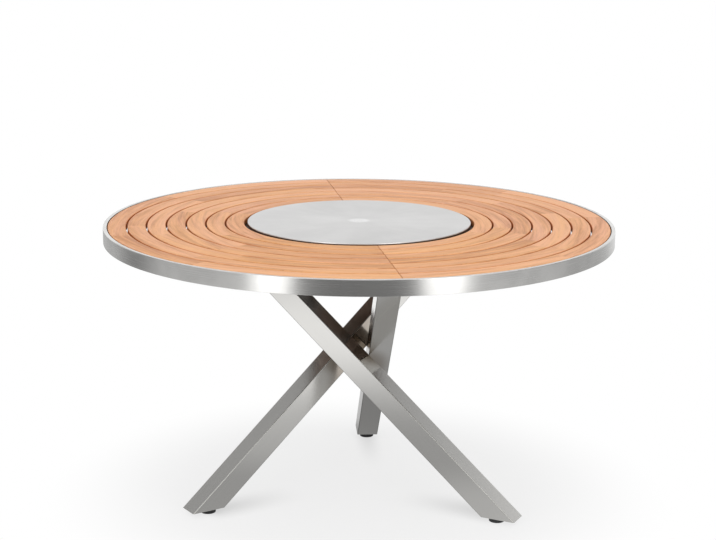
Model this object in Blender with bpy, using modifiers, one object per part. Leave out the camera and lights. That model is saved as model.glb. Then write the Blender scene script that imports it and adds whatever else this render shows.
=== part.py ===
"""Round garden table with a slatted teak top, a steel turntable and a twisted three-legged base.

Units are metres, +Z is up, and the origin is on the floor under the middle of the table.
Each leg is built in its own frame: X runs along the leg in plan, from foot to top,
Y points away from the table's axis, and the frame is then turned about Z.
"""

import math

import bmesh
import bpy
from mathutils import Matrix

# Overall sizes
TABLE_HEIGHT = 0.750
TABLE_RADIUS = 0.6775
CLEARANCE = 0.0003

# Rim: a rolled flat bar
RIM_HEIGHT = 0.040
RIM_THICKNESS = 0.010
RIM_EDGE = 0.0012
RIM_STEPS = 80

# Slats: rings of teak, each in two halves that meet at a straight seam
SLAT_RINGS = 7
SLAT_THICKNESS = 0.020
SLAT_GAP = 0.0045
SLAT_EDGE = 0.0015
SLAT_TO_RIM = 0.002
SLAT_STEPS = 28
SEAM_WIDTH = 0.0016
SEAM_LEAD = math.radians(3.6)

# Battens: teak strips that tie the slats of one half together from below
BATTEN_WIDTH = 0.036
BATTEN_THICKNESS = 0.018
BATTEN_INSET = 0.006
BATTEN_EDGE = 0.002
BATTEN_LEAD = math.radians(7.0)

# Frame under the slats: six flat tubes on a round hub plate
ARM_HEIGHT = 0.020
ARM_WALL = 0.002
LEG_ARM_WIDTH = 0.060
SIDE_ARM_WIDTH = 0.040
HUB_PLATE_RADIUS = 0.110
HUB_PLATE_THICKNESS = 0.005
HUB_PLATE_STEPS = 48

# Turntable: sheet steel disc on a board, carried by a ball bearing on a base plate
TURNTABLE_RADIUS = 0.2985
TURNTABLE_GAP = 0.008
DISC_SHEET = 0.0015
DISC_SKIRT = 0.007
DISC_EDGE = 0.002
BOARD_THICKNESS = 0.008
BOARD_FIT = 0.0005
BASE_PLATE_THICKNESS = 0.003
BASE_PLATE_GAP = 0.001
TURNTABLE_STEPS = 72

# Bearing: two flat rings side by side, with caged balls in V grooves between them
BALL_CIRCLE_RADIUS = 0.150
BALL_RADIUS = 0.0025
BALL_COUNT = 12
BALL_SEGMENTS = 8
BALL_RINGS = 6
RACE_GAP = 0.0022
BEARING_RING_WIDTH = 0.022
BEARING_RING_HEIGHT = 0.0085
BEARING_RING_STEP = 0.001
CAGE_THICKNESS = 0.001
CAGE_HEIGHT = 0.003
BEARING_STEPS = 48

# Legs: square tubes that lean past each other round the table's axis
LEG_COUNT = 3
LEG_SIDE = 0.060
LEG_WALL = 0.0025
LEG_CORNER = 0.002
LEG_SLOPE = math.radians(40.0)
LEG_CROSSING_HEIGHT = 0.3925
LEG_TURN = math.radians(3.7)

# Top plates and the bolts that hold them to the frame
TOP_PLATE_LENGTH = 0.165
TOP_PLATE_WIDTH = 0.070
TOP_PLATE_THICKNESS = 0.005
TOP_PLATE_CORNER = 0.006
BOLT_SPACING = 0.140
BOLT_RADIUS = 0.004
BOLT_HEAD_RADIUS = 0.007
BOLT_HEAD_HEIGHT = 0.0044
BOLT_HEAD_EDGE = 0.0015
BOLT_REACH = 0.008
BOLT_STEPS = 12

# Feet: plates inside the leg ends, and screwed glides under them
FOOT_PLATE_THICKNESS = 0.005
BOSS_RADIUS = 0.009
BOSS_HEIGHT = 0.012
GLIDE_RADIUS = 0.0203
GLIDE_HEIGHT = 0.0137
GLIDE_TOP_INSET = 0.003
GLIDE_EDGE = 0.0015
GLIDE_INSET = 0.0134
STUD_RADIUS = 0.005
STUD_SOCKET = 0.008
STUD_TOP_HEIGHT = 0.045
FOOT_STEPS = 20

# Levels that follow from the sizes above
SLAT_BOTTOM = TABLE_HEIGHT - SLAT_THICKNESS
FRAME_TOP = SLAT_BOTTOM - CLEARANCE
ARM_BOTTOM = FRAME_TOP - ARM_HEIGHT
TOP_PLATE_TOP = ARM_BOTTOM - CLEARANCE
TOP_PLATE_BOTTOM = TOP_PLATE_TOP - TOP_PLATE_THICKNESS
LEG_TOP = TOP_PLATE_BOTTOM - CLEARANCE
LEG_BOTTOM = GLIDE_HEIGHT + CLEARANCE
BASE_PLATE_BOTTOM = FRAME_TOP + CLEARANCE
BEARING_BOTTOM = BASE_PLATE_BOTTOM + BASE_PLATE_THICKNESS + CLEARANCE
BEARING_TOP = BEARING_BOTTOM + BEARING_RING_HEIGHT + BEARING_RING_STEP
BOARD_BOTTOM = BEARING_TOP + CLEARANCE
DISC_UNDERSIDE = BOARD_BOTTOM + BOARD_THICKNESS + CLEARANCE

# Radii and angles that follow from the sizes above
RIM_INNER = TABLE_RADIUS - RIM_THICKNESS
SLAT_OUTER = RIM_INNER - SLAT_TO_RIM
SLAT_INNER = TURNTABLE_RADIUS + TURNTABLE_GAP
SLAT_WIDTH = (SLAT_OUTER - SLAT_INNER - (SLAT_RINGS - 1) * SLAT_GAP) / SLAT_RINGS
LEG_TOP_RUN = (LEG_TOP - LEG_CROSSING_HEIGHT) / math.tan(LEG_SLOPE)
ARM_COUNT = 2 * LEG_COUNT
ARM_STEP = math.tau / ARM_COUNT

# Neighbouring legs meet at their rounded inner edges. The common perpendicular of their middle lines leaves
# a leg partly by its inner side and partly by its upper or lower face, and how long it is for edges that just
# meet sets how far each middle line passes from the table's axis
LEG_STEP = math.tau / LEG_COUNT
LEG_LEAN = math.sin(LEG_SLOPE) * math.cos(LEG_SLOPE)
LEG_SPREAD = 2 * math.sin(LEG_STEP / 2)
LEG_SKEW = math.hypot(math.cos(LEG_SLOPE) ** 2 * math.sin(LEG_STEP), LEG_LEAN * LEG_SPREAD)
SIDE_SHARE = LEG_LEAN * (1 - math.cos(LEG_STEP)) / LEG_SKEW
UPPER_SHARE = math.sqrt(1 - SIDE_SHARE ** 2)
EDGE_REACH = (LEG_SIDE / 2 - LEG_CORNER) * (SIDE_SHARE + UPPER_SHARE) + LEG_CORNER
LEG_OFFSET = (2 * EDGE_REACH + CLEARANCE) * LEG_SKEW / (LEG_LEAN * LEG_SPREAD ** 2)
LEG_ARM_LEAD = math.atan2(LEG_OFFSET, LEG_TOP_RUN)

# How far a tool body runs past what it cuts, and how edges and turned shapes are finished
BOOLEAN_REACH = 0.010
CORNER_SEGMENTS = 2
CHAMFER_SEGMENTS = 1
SMOOTH_ANGLE = math.radians(30.0)
TURN_MERGE = 0.00001

# Finishes: name, colour, roughness and metallic
STEEL = ("brushed_stainless", (0.56, 0.56, 0.55), 0.32, 1.0)
TEAK = ("teak", (0.62, 0.36, 0.19), 0.55, 0.0)
BLACK = ("black_plastic", (0.015, 0.015, 0.015), 0.5, 0.0)
ALUMINIUM = ("bearing_aluminium", (0.60, 0.61, 0.62), 0.4, 1.0)
NYLON = ("cage_nylon", (0.75, 0.73, 0.68), 0.5, 0.0)


def collection(name):
    """Make a collection in the scene."""
    group = bpy.data.collections.new(name)
    bpy.context.scene.collection.children.link(group)
    return group


def finish(name, colour, roughness, metallic):
    """Make a plain surface material for one piece."""
    material = bpy.data.materials.new(name)
    material.use_nodes = True
    shader = material.node_tree.nodes["Principled BSDF"]
    shader.inputs["Base Color"].default_value = (*colour, 1.0)
    shader.inputs["Roughness"].default_value = roughness
    shader.inputs["Metallic"].default_value = metallic
    return material


def piece(name, mesh, look, group):
    """Put a mesh in the scene as one named piece with its own material."""
    base_name, colour, roughness, metallic = look
    mesh.materials.append(finish(f"{name}_{base_name}", colour, roughness, metallic))
    obj = bpy.data.objects.new(name, mesh)
    group.objects.link(obj)
    return obj


def cutter(name, mesh, group):
    """Put a mesh in the scene as a tool body that isn't part of the table."""
    obj = bpy.data.objects.new(name, mesh)
    obj.hide_render = True
    obj.display_type = 'WIRE'
    group.objects.link(obj)
    return obj


def combine(obj, other, operation):
    """Join another body to a piece, or cut it away."""
    modifier = obj.modifiers.new(f"{operation.lower()}_{other.name}", 'BOOLEAN')
    modifier.operation = operation
    modifier.solver = 'EXACT'
    modifier.object = other


def bevel(obj, width, segments):
    """Round the edges of a piece that carry a bevel weight."""
    modifier = obj.modifiers.new("rounded_edges", 'BEVEL')
    modifier.limit_method = 'WEIGHT'
    modifier.width = width
    modifier.segments = segments


def mesh_from(name, bm):
    """Turn an edit mesh into mesh data."""
    mesh = bpy.data.meshes.new(name)
    bm.to_mesh(mesh)
    bm.free()
    return mesh


def profile_mesh(name, profile, closed):
    """Make the outline of a turned piece from radius and height pairs."""
    mesh = bpy.data.meshes.new(name)
    last = len(profile) if closed else len(profile) - 1
    edges = [(i, (i + 1) % len(profile)) for i in range(last)]
    mesh.from_pydata([(radius, 0.0, height) for radius, height in profile], edges, [])
    return mesh


def turn(obj, steps):
    """Turn a profile once round the Z axis."""
    modifier = obj.modifiers.new("turned", 'SCREW')
    modifier.axis = 'Z'
    modifier.angle = math.tau
    modifier.steps = steps
    modifier.render_steps = steps
    modifier.use_merge_vertices = True
    modifier.merge_threshold = TURN_MERGE
    modifier.use_smooth_shade = True


def turned(name, profile, steps, look, group, closed=False):
    """Make a turned piece: an open profile meets the axis, a closed one makes a ring."""
    obj = piece(name, profile_mesh(name, profile, closed), look, group)
    turn(obj, steps)
    return obj


def facing_in(radius, steps):
    """Give the corner radius of a facetted hole whose flats lie at the stated radius."""
    return radius / math.cos(math.pi / steps)


def weigh_edges(bm, chosen):
    """Mark the edges that a bevel rounds."""
    layer = bm.edges.layers.float.new("bevel_weight_edge")
    for edge in bm.edges:
        edge[layer] = 1.0 if chosen(edge) else 0.0


def block(name, low, high, weighted=None):
    """Make a box between two corners."""
    bm = bmesh.new()
    size = [b - a for a, b in zip(low, high)]
    middle = [(a + b) / 2 for a, b in zip(low, high)]
    place = Matrix.Translation(middle) @ Matrix.Diagonal((*size, 1.0))
    bmesh.ops.create_cube(bm, size=1.0, matrix=place)
    if weighted:
        weigh_edges(bm, weighted)
    return mesh_from(name, bm)


def upright(edge):
    """Tell whether an edge stands along Z."""
    first, second = edge.verts
    return abs(first.co.z - second.co.z) > 2 * abs(first.co.xy.length - second.co.xy.length)


def rod(name, radius, low, high, steps, place=(0.0, 0.0)):
    """Make an upright cylinder."""
    bm = bmesh.new()
    matrix = Matrix.Translation((*place, (low + high) / 2))
    bmesh.ops.create_cone(
        bm, cap_ends=True, segments=steps, radius1=radius, radius2=radius, depth=high - low, matrix=matrix)
    return mesh_from(name, bm)


def leg_run(height):
    """Give a leg's place along its own X axis at a height."""
    return (height - LEG_CROSSING_HEIGHT) / math.tan(LEG_SLOPE)


def leaning_bar(name, side, low, high, weighted=False):
    """Make a square bar along a leg's line, cut level at both ends."""
    bm = bmesh.new()
    bmesh.ops.create_cube(bm, size=1.0)
    if weighted:
        weigh_edges(bm, upright)
    for vert in bm.verts:
        height = high if vert.co.z > 0 else low
        along = leg_run(height) + vert.co.x * side / math.sin(LEG_SLOPE)
        vert.co = (along, LEG_OFFSET + vert.co.y * side, height)
    return mesh_from(name, bm)


def leg_angle(index):
    """Give the turn of a leg's frame about the table's axis."""
    return LEG_TURN - math.pi / 2 - math.tau * (index + 1) / LEG_COUNT


def arm_angle(index):
    """Give the direction of a frame arm, counted from the arm over the last leg."""
    return leg_angle(LEG_COUNT - 1) + LEG_ARM_LEAD + index * ARM_STEP


def seam_angle():
    """Give the direction in which the left half of the top begins."""
    return arm_angle(ARM_COUNT // 2) - SEAM_LEAD


def make_rim(group):
    """Make the steel band round the top."""
    top = TABLE_HEIGHT
    bottom = TABLE_HEIGHT - RIM_HEIGHT
    inner = facing_in(RIM_INNER, RIM_STEPS)
    profile = [
        (inner, top - RIM_EDGE), (inner + RIM_EDGE, top), (TABLE_RADIUS - RIM_EDGE, top),
        (TABLE_RADIUS, top - RIM_EDGE), (TABLE_RADIUS, bottom), (inner, bottom)]
    turned("rim_band", profile, RIM_STEPS, STEEL, group, closed=True)


def make_slat(name, inner, start, group):
    """Make half a ring of teak with eased upper edges."""
    outer = inner + SLAT_WIDTH
    top = TABLE_HEIGHT
    half_gap = SEAM_WIDTH / (inner + outer)
    section = [
        (inner, SLAT_BOTTOM), (outer, SLAT_BOTTOM), (outer, top - SLAT_EDGE),
        (outer - SLAT_EDGE, top), (inner + SLAT_EDGE, top), (inner, top - SLAT_EDGE)]
    bm = bmesh.new()
    verts = [bm.verts.new((radius, 0.0, height)) for radius, height in section]
    edges = [bm.edges.new((verts[i - 1], verts[i])) for i in range(len(verts))]
    bmesh.ops.spin(
        bm, geom=verts + edges, cent=(0, 0, 0), axis=(0, 0, 1),
        angle=math.pi - 2 * half_gap, steps=SLAT_STEPS, use_duplicate=False)
    ends = [edge for edge in bm.edges if edge.is_boundary]
    bmesh.ops.holes_fill(bm, edges=ends, sides=len(section))
    bmesh.ops.recalc_face_normals(bm, faces=bm.faces)
    mesh = mesh_from(name, bm)
    mesh.shade_smooth()
    mesh.set_sharp_from_angle(angle=SMOOTH_ANGLE)
    obj = piece(name, mesh, TEAK, group)
    obj.rotation_euler.z = start + half_gap


def make_batten(name, angle, group):
    """Make a radial teak strip under the slats of one half."""
    half = BATTEN_WIDTH / 2
    top = SLAT_BOTTOM - CLEARANCE
    low = (SLAT_INNER + BATTEN_INSET, -half, top - BATTEN_THICKNESS)
    reach = math.sqrt(SLAT_OUTER ** 2 - half ** 2) - BATTEN_INSET
    mesh = block(name, low, (reach, half, top), lambda edge: all(v.co.z < top for v in edge.verts))
    obj = piece(name, mesh, TEAK, group)
    bevel(obj, BATTEN_EDGE, CHAMFER_SEGMENTS)
    obj.rotation_euler.z = angle


def make_top(group):
    """Make both halves of the slatted top with their battens."""
    for half, side in enumerate(("left", "right")):
        start = seam_angle() + half * math.pi
        for ring in range(SLAT_RINGS):
            inner = SLAT_INNER + ring * (SLAT_WIDTH + SLAT_GAP)
            make_slat(f"slat_{side}_{ring + 1}", inner, start, group)
        between_arms = [SEAM_LEAD + (i + 0.5) * ARM_STEP for i in range(LEG_COUNT)]
        beside_seam = math.pi - BATTEN_LEAD
        for number, turn_from_seam in enumerate([*between_arms, beside_seam], start=1):
            make_batten(f"batten_{side}_{number}", start + turn_from_seam, group)


def arm_start(index):
    """Give the radius at which an arm begins, clear of its neighbours."""
    if index % 2 == 0:
        return (LEG_ARM_WIDTH / 2 + CLEARANCE) / math.tan(ARM_STEP)
    side_corner = SIDE_ARM_WIDTH / 2 * math.cos(ARM_STEP)
    return (LEG_ARM_WIDTH / 2 + side_corner + CLEARANCE) / math.sin(ARM_STEP)


def make_arm(index, bolt_holes, group, tools):
    """Make one flat tube of the frame, from the hub to the rim."""
    name = f"frame_arm_{index + 1}"
    half = (LEG_ARM_WIDTH if index % 2 == 0 else SIDE_ARM_WIDTH) / 2
    start = arm_start(index)
    end = math.sqrt(RIM_INNER ** 2 - half ** 2) - CLEARANCE
    obj = piece(name, block(name, (start, -half, ARM_BOTTOM), (end, half, FRAME_TOP)), STEEL, group)
    bore_half = half - ARM_WALL
    bore = block(
        f"{name}_bore", (start - BOOLEAN_REACH, -bore_half, ARM_BOTTOM + ARM_WALL),
        (end + BOOLEAN_REACH, bore_half, FRAME_TOP - ARM_WALL))
    hollow = cutter(f"{name}_bore", bore, tools)
    for placed in (obj, hollow):
        placed.rotation_euler.z = arm_angle(index)
    combine(obj, hollow, 'DIFFERENCE')
    for hole in bolt_holes:
        combine(obj, hole, 'DIFFERENCE')


def make_hub_plate(group):
    """Make the round plate that joins the arms at the middle."""
    top = ARM_BOTTOM - CLEARANCE
    bottom = top - HUB_PLATE_THICKNESS
    profile = [(0, top), (HUB_PLATE_RADIUS, top), (HUB_PLATE_RADIUS, bottom), (0, bottom)]
    turned("frame_hub_plate", profile, HUB_PLATE_STEPS, STEEL, group)


def make_bearing(group, tools):
    """Make the two rings of the bearing and the caged balls between them."""
    middle = (BEARING_BOTTOM + BEARING_TOP) / 2
    groove = (BALL_RADIUS + CLEARANCE) * math.sqrt(2)
    lip = groove - RACE_GAP / 2
    outer_top = BEARING_BOTTOM + BEARING_RING_HEIGHT
    face = facing_in(BALL_CIRCLE_RADIUS + RACE_GAP / 2, BEARING_STEPS)
    deep = facing_in(BALL_CIRCLE_RADIUS + groove, BEARING_STEPS)
    back = face + BEARING_RING_WIDTH
    turned("bearing_outer_ring", [
        (face, outer_top), (back, outer_top), (back, BEARING_BOTTOM), (face, BEARING_BOTTOM),
        (face, middle - lip), (deep, middle), (face, middle + lip)],
        BEARING_STEPS, ALUMINIUM, group, closed=True)
    inner_bottom = BEARING_TOP - BEARING_RING_HEIGHT
    face = BALL_CIRCLE_RADIUS - RACE_GAP / 2
    deep = BALL_CIRCLE_RADIUS - groove
    back = face - BEARING_RING_WIDTH
    turned("bearing_inner_ring", [
        (back, BEARING_TOP), (face, BEARING_TOP), (face, middle + lip), (deep, middle),
        (face, middle - lip), (face, inner_bottom), (back, inner_bottom)],
        BEARING_STEPS, ALUMINIUM, group, closed=True)
    half = CAGE_THICKNESS / 2
    rise = CAGE_HEIGHT / 2
    cage = turned("bearing_ball_cage", [
        (BALL_CIRCLE_RADIUS - half, middle + rise), (BALL_CIRCLE_RADIUS + half, middle + rise),
        (BALL_CIRCLE_RADIUS + half, middle - rise), (BALL_CIRCLE_RADIUS - half, middle - rise)],
        BEARING_STEPS, NYLON, group, closed=True)
    bm = bmesh.new()
    for number in range(BALL_COUNT):
        place = Matrix.Rotation(math.tau * number / BALL_COUNT, 4, 'Z')
        place = place @ Matrix.Translation((BALL_CIRCLE_RADIUS, 0, middle))
        bmesh.ops.create_uvsphere(
            bm, u_segments=BALL_SEGMENTS, v_segments=BALL_RINGS, radius=BALL_RADIUS, matrix=place)
    combine(cage, cutter("bearing_balls", mesh_from("bearing_balls", bm), tools), 'UNION')


def make_turntable(group):
    """Make the base plate, the board and the steel disc that turns."""
    radius = SLAT_INNER - BASE_PLATE_GAP
    top = BASE_PLATE_BOTTOM + BASE_PLATE_THICKNESS
    turned("turntable_base_plate", [
        (0, top), (radius, top), (radius, BASE_PLATE_BOTTOM), (0, BASE_PLATE_BOTTOM)],
        TURNTABLE_STEPS, STEEL, group)
    skirt_inner = TURNTABLE_RADIUS - DISC_SHEET
    flats = skirt_inner * math.cos(math.pi / TURNTABLE_STEPS)
    radius = flats - BOARD_FIT
    top = BOARD_BOTTOM + BOARD_THICKNESS
    turned("turntable_board", [
        (0, top), (radius, top), (radius, BOARD_BOTTOM), (0, BOARD_BOTTOM)], TURNTABLE_STEPS, BLACK, group)
    top = DISC_UNDERSIDE + DISC_SHEET
    skirt = DISC_UNDERSIDE - DISC_SKIRT
    turned("turntable_disc", [
        (0, top), (TURNTABLE_RADIUS - DISC_EDGE, top), (TURNTABLE_RADIUS, top - DISC_EDGE),
        (TURNTABLE_RADIUS, skirt), (skirt_inner, skirt), (skirt_inner, DISC_UNDERSIDE), (0, DISC_UNDERSIDE)],
        TURNTABLE_STEPS, STEEL, group)


def make_leg(index, group, tools):
    """Make one hollow leg, cut level at the foot and under the top plate."""
    name = f"leg_{index + 1}"
    obj = piece(name, leaning_bar(name, LEG_SIDE, LEG_BOTTOM, LEG_TOP, weighted=True), STEEL, group)
    bevel(obj, LEG_CORNER, CORNER_SEGMENTS)
    bore_side = LEG_SIDE - 2 * LEG_WALL
    bore = leaning_bar(f"{name}_bore", bore_side, LEG_BOTTOM - BOOLEAN_REACH, LEG_TOP + BOOLEAN_REACH)
    hollow = cutter(f"{name}_bore", bore, tools)
    for placed in (obj, hollow):
        placed.rotation_euler.z = leg_angle(index)
    combine(obj, hollow, 'DIFFERENCE')


def make_bolt_holes(index, tools):
    """Make the tool bodies for the two bolt holes over one leg."""
    holes = []
    for number, side in enumerate((-1, 1), start=1):
        name = f"leg_{index + 1}_bolt_hole_{number}"
        place = (LEG_TOP_RUN + side * BOLT_SPACING / 2, LEG_OFFSET)
        high = ARM_BOTTOM + ARM_HEIGHT / 2
        mesh = rod(name, BOLT_RADIUS + CLEARANCE, TOP_PLATE_BOTTOM - BOOLEAN_REACH, high, BOLT_STEPS, place)
        hole = cutter(name, mesh, tools)
        hole.rotation_euler.z = leg_angle(index)
        holes.append(hole)
    return holes


def make_top_plate(index, bolt_holes, group):
    """Make the plate on top of a leg, and the two bolts that hold it to the frame."""
    name = f"leg_top_plate_{index + 1}"
    half_length = TOP_PLATE_LENGTH / 2
    half_width = TOP_PLATE_WIDTH / 2
    mesh = block(
        name, (LEG_TOP_RUN - half_length, LEG_OFFSET - half_width, TOP_PLATE_BOTTOM),
        (LEG_TOP_RUN + half_length, LEG_OFFSET + half_width, TOP_PLATE_TOP), upright)
    plate = piece(name, mesh, STEEL, group)
    bevel(plate, TOP_PLATE_CORNER, CORNER_SEGMENTS)
    plate.rotation_euler.z = leg_angle(index)
    for hole in bolt_holes:
        combine(plate, hole, 'DIFFERENCE')
    seat = TOP_PLATE_BOTTOM - CLEARANCE
    bottom = seat - BOLT_HEAD_HEIGHT
    tip = ARM_BOTTOM + ARM_WALL + BOLT_REACH
    profile = [
        (0, tip), (BOLT_RADIUS, tip), (BOLT_RADIUS, seat), (BOLT_HEAD_RADIUS, seat),
        (BOLT_HEAD_RADIUS, bottom + BOLT_HEAD_EDGE), (BOLT_HEAD_RADIUS - BOLT_HEAD_EDGE, bottom), (0, bottom)]
    for number, side in enumerate((-1, 1), start=1):
        bolt = turned(f"leg_bolt_{2 * index + number}", profile, BOLT_STEPS, STEEL, group)
        turn_about_axis = Matrix.Rotation(leg_angle(index), 4, 'Z')
        along = LEG_TOP_RUN + side * BOLT_SPACING / 2
        bolt.matrix_world = turn_about_axis @ Matrix.Translation((along, LEG_OFFSET, 0))


def make_foot(index, group, tools):
    """Make the plate with its threaded boss inside a leg's foot."""
    name = f"foot_plate_{index + 1}"
    side = LEG_SIDE - 2 * (LEG_WALL + CLEARANCE)
    top = LEG_BOTTOM + FOOT_PLATE_THICKNESS
    plate = piece(name, leaning_bar(name, side, LEG_BOTTOM, top), STEEL, group)
    place = (leg_run(LEG_BOTTOM) + GLIDE_INSET, LEG_OFFSET)
    inside_plate = LEG_BOTTOM + FOOT_PLATE_THICKNESS / 2
    boss_mesh = rod(f"{name}_boss", BOSS_RADIUS, inside_plate, top + BOSS_HEIGHT, FOOT_STEPS, place)
    boss = cutter(f"{name}_boss", boss_mesh, tools)
    hole_mesh = rod(
        f"{name}_thread", facing_in(STUD_RADIUS + CLEARANCE, FOOT_STEPS), LEG_BOTTOM - BOOLEAN_REACH,
        top + BOSS_HEIGHT + BOOLEAN_REACH, FOOT_STEPS, place)
    hole = cutter(f"{name}_thread", hole_mesh, tools)
    for placed in (plate, boss, hole):
        placed.rotation_euler.z = leg_angle(index)
    combine(plate, boss, 'UNION')
    combine(plate, hole, 'DIFFERENCE')


def make_glide(index, group):
    """Make the plastic foot and its screwed stud, on an empty at the stud's line."""
    mark = bpy.data.objects.new(f"glide_{index + 1}_axis", None)
    group.objects.link(mark)
    turn_about_axis = Matrix.Rotation(leg_angle(index), 4, 'Z')
    along = leg_run(LEG_BOTTOM) + GLIDE_INSET
    mark.matrix_world = turn_about_axis @ Matrix.Translation((along, LEG_OFFSET, 0))
    socket = facing_in(STUD_RADIUS + CLEARANCE, FOOT_STEPS)
    floor = GLIDE_HEIGHT - STUD_SOCKET
    shoulder = GLIDE_RADIUS - GLIDE_TOP_INSET
    pad = turned(f"glide_pad_{index + 1}", [
        (0, floor), (socket, floor), (socket, GLIDE_HEIGHT), (shoulder, GLIDE_HEIGHT),
        (GLIDE_RADIUS, GLIDE_HEIGHT - GLIDE_TOP_INSET), (GLIDE_RADIUS, GLIDE_EDGE),
        (GLIDE_RADIUS - GLIDE_EDGE, 0), (0, 0)], FOOT_STEPS, BLACK, group)
    low = floor + CLEARANCE
    stud = turned(f"glide_stud_{index + 1}", [
        (0, STUD_TOP_HEIGHT), (STUD_RADIUS, STUD_TOP_HEIGHT), (STUD_RADIUS, low), (0, low)],
        FOOT_STEPS, STEEL, group)
    for placed in (pad, stud):
        placed.parent = mark


def main():
    """Build the whole table."""
    for obj in list(bpy.data.objects):
        bpy.data.objects.remove(obj, do_unlink=True)
    group = collection("round_garden_table")
    tools = collection("cutters")
    make_rim(group)
    make_top(group)
    make_hub_plate(group)
    make_bearing(group, tools)
    make_turntable(group)
    holes_over_leg = [make_bolt_holes(index, tools) for index in range(LEG_COUNT)]
    for index in range(ARM_COUNT):
        leg_below = (2 * LEG_COUNT - 1 - index // 2) % LEG_COUNT
        make_arm(index, holes_over_leg[leg_below] if index % 2 == 0 else [], group, tools)
    for index in range(LEG_COUNT):
        make_leg(index, group, tools)
        make_top_plate(index, holes_over_leg[index], group)
        make_foot(index, group, tools)
        make_glide(index, group)


main()
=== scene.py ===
"""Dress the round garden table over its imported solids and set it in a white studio.

Units are metres, +Z is up, and the origin is on the floor under the middle of the table.
The slats, rim, disc, legs, bolts and feet are modelled afresh with rounded edges;
the pieces under the top keep their solids and get finishes of their own.
"""

from __future__ import annotations

import logging
import math
import random
from contextlib import contextmanager
from dataclasses import dataclass
from enum import Enum
from typing import Any, Callable, Iterator, Optional, Sequence, Union

import bmesh
import bpy
from mathutils import Matrix, Vector

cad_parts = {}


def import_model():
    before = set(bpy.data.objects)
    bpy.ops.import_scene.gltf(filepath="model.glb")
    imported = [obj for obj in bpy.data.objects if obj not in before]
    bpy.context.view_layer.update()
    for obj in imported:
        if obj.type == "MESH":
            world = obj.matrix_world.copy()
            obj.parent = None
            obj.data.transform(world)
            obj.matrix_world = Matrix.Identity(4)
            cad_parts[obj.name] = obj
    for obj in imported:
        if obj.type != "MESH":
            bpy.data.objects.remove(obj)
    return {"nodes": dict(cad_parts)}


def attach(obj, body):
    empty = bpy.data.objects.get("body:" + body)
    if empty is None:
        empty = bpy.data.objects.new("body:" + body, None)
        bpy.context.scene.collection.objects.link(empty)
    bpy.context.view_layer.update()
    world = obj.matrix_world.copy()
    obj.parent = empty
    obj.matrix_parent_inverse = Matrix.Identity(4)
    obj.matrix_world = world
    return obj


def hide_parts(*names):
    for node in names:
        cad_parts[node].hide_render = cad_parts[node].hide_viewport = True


LOG = logging.getLogger("garden_table")
TABLE_TOP = 0.750
SEAM_LEAD = math.radians(3.6)  # from the seam to the arm beside it
TOUCH = 1e-5  # metres within which two places count as one
FACING = 0.99  # cosine above which a face or edge runs a given way
LEAST_RADIUS = 0.001  # keeps the middle of a disc from being divided by nothing
Colour = tuple[float, float, float]
Inputs = dict[Union[str, int], Any]


class Body(Enum):
    """The bodies of the table that new pieces ride on."""

    TABLE = "table"
    TURNTABLE = "turntable"
    GLIDE_1 = "glide_1"
    GLIDE_2 = "glide_2"
    GLIDE_3 = "glide_3"


class Slot(Enum):
    """The record's material slots."""

    SLATS = "slat_teak"
    RIM = "rim_steel"
    DISC = "disc_steel"
    LEGS = "leg_steel"
    FASTENERS = "fastener_steel"
    GLIDES = "glide_plastic"


class Brushing(Enum):
    """The way the fine lines of a metal finish run."""

    HOOP = "round an upright band"
    RINGS = "in rings on a flat disc"
    ALONG = "along the piece's own length"
    MILL = "no single way"


# How often the brushed lines change along their own way
STROKE_WAVES = {Brushing.HOOP: 4.0, Brushing.RINGS: 1.6, Brushing.ALONG: 5.0, Brushing.MILL: 90.0}


class Reading:
    """One value in a shader; sums on it add Math nodes."""

    def __init__(self, graph: "Graph", socket: bpy.types.NodeSocket) -> None:
        """Keep the socket that the value comes from."""
        self.graph = graph
        self.socket = socket

    def _sum(self, operation: str, first: Any, second: Any = 0.0) -> "Reading":
        """Add a Math node and give its result."""
        return self.graph.read("ShaderNodeMath", {"operation": operation}, {0: first, 1: second})

    def __add__(self, other: Any) -> "Reading":
        """Give self + other."""
        return self._sum("ADD", self, other)

    __radd__ = __add__

    def __sub__(self, other: Any) -> "Reading":
        """Give self - other."""
        return self._sum("SUBTRACT", self, other)

    def __rsub__(self, other: Any) -> "Reading":
        """Give other - self."""
        return self._sum("SUBTRACT", other, self)

    def __mul__(self, other: Any) -> "Reading":
        """Give self times other."""
        return self._sum("MULTIPLY", self, other)

    __rmul__ = __mul__

    def __truediv__(self, other: Any) -> "Reading":
        """Give self over other."""
        return self._sum("DIVIDE", self, other)

    def __rtruediv__(self, other: Any) -> "Reading":
        """Give other over self."""
        return self._sum("DIVIDE", other, self)

    def __pow__(self, other: Any) -> "Reading":
        """Give self to the power of other."""
        return self._sum("POWER", self, other)

    def fraction(self) -> "Reading":
        """Give what is left after the whole number is taken away."""
        return self._sum("FRACT", self)

    def size(self) -> "Reading":
        """Give the value without its sign."""
        return self._sum("ABSOLUTE", self)

    def larger(self, other: Any) -> "Reading":
        """Give the larger of two values."""
        return self._sum("MAXIMUM", self, other)

    def rise(self, low: float, high: float) -> "Reading":
        """Give a smooth step from 0 at low to 1 at high."""
        ends = {0: self, 1: low, 2: high, 3: 0.0, 4: 1.0}
        return self.graph.read("ShaderNodeMapRange", {"interpolation_type": "SMOOTHSTEP"}, ends)


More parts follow.
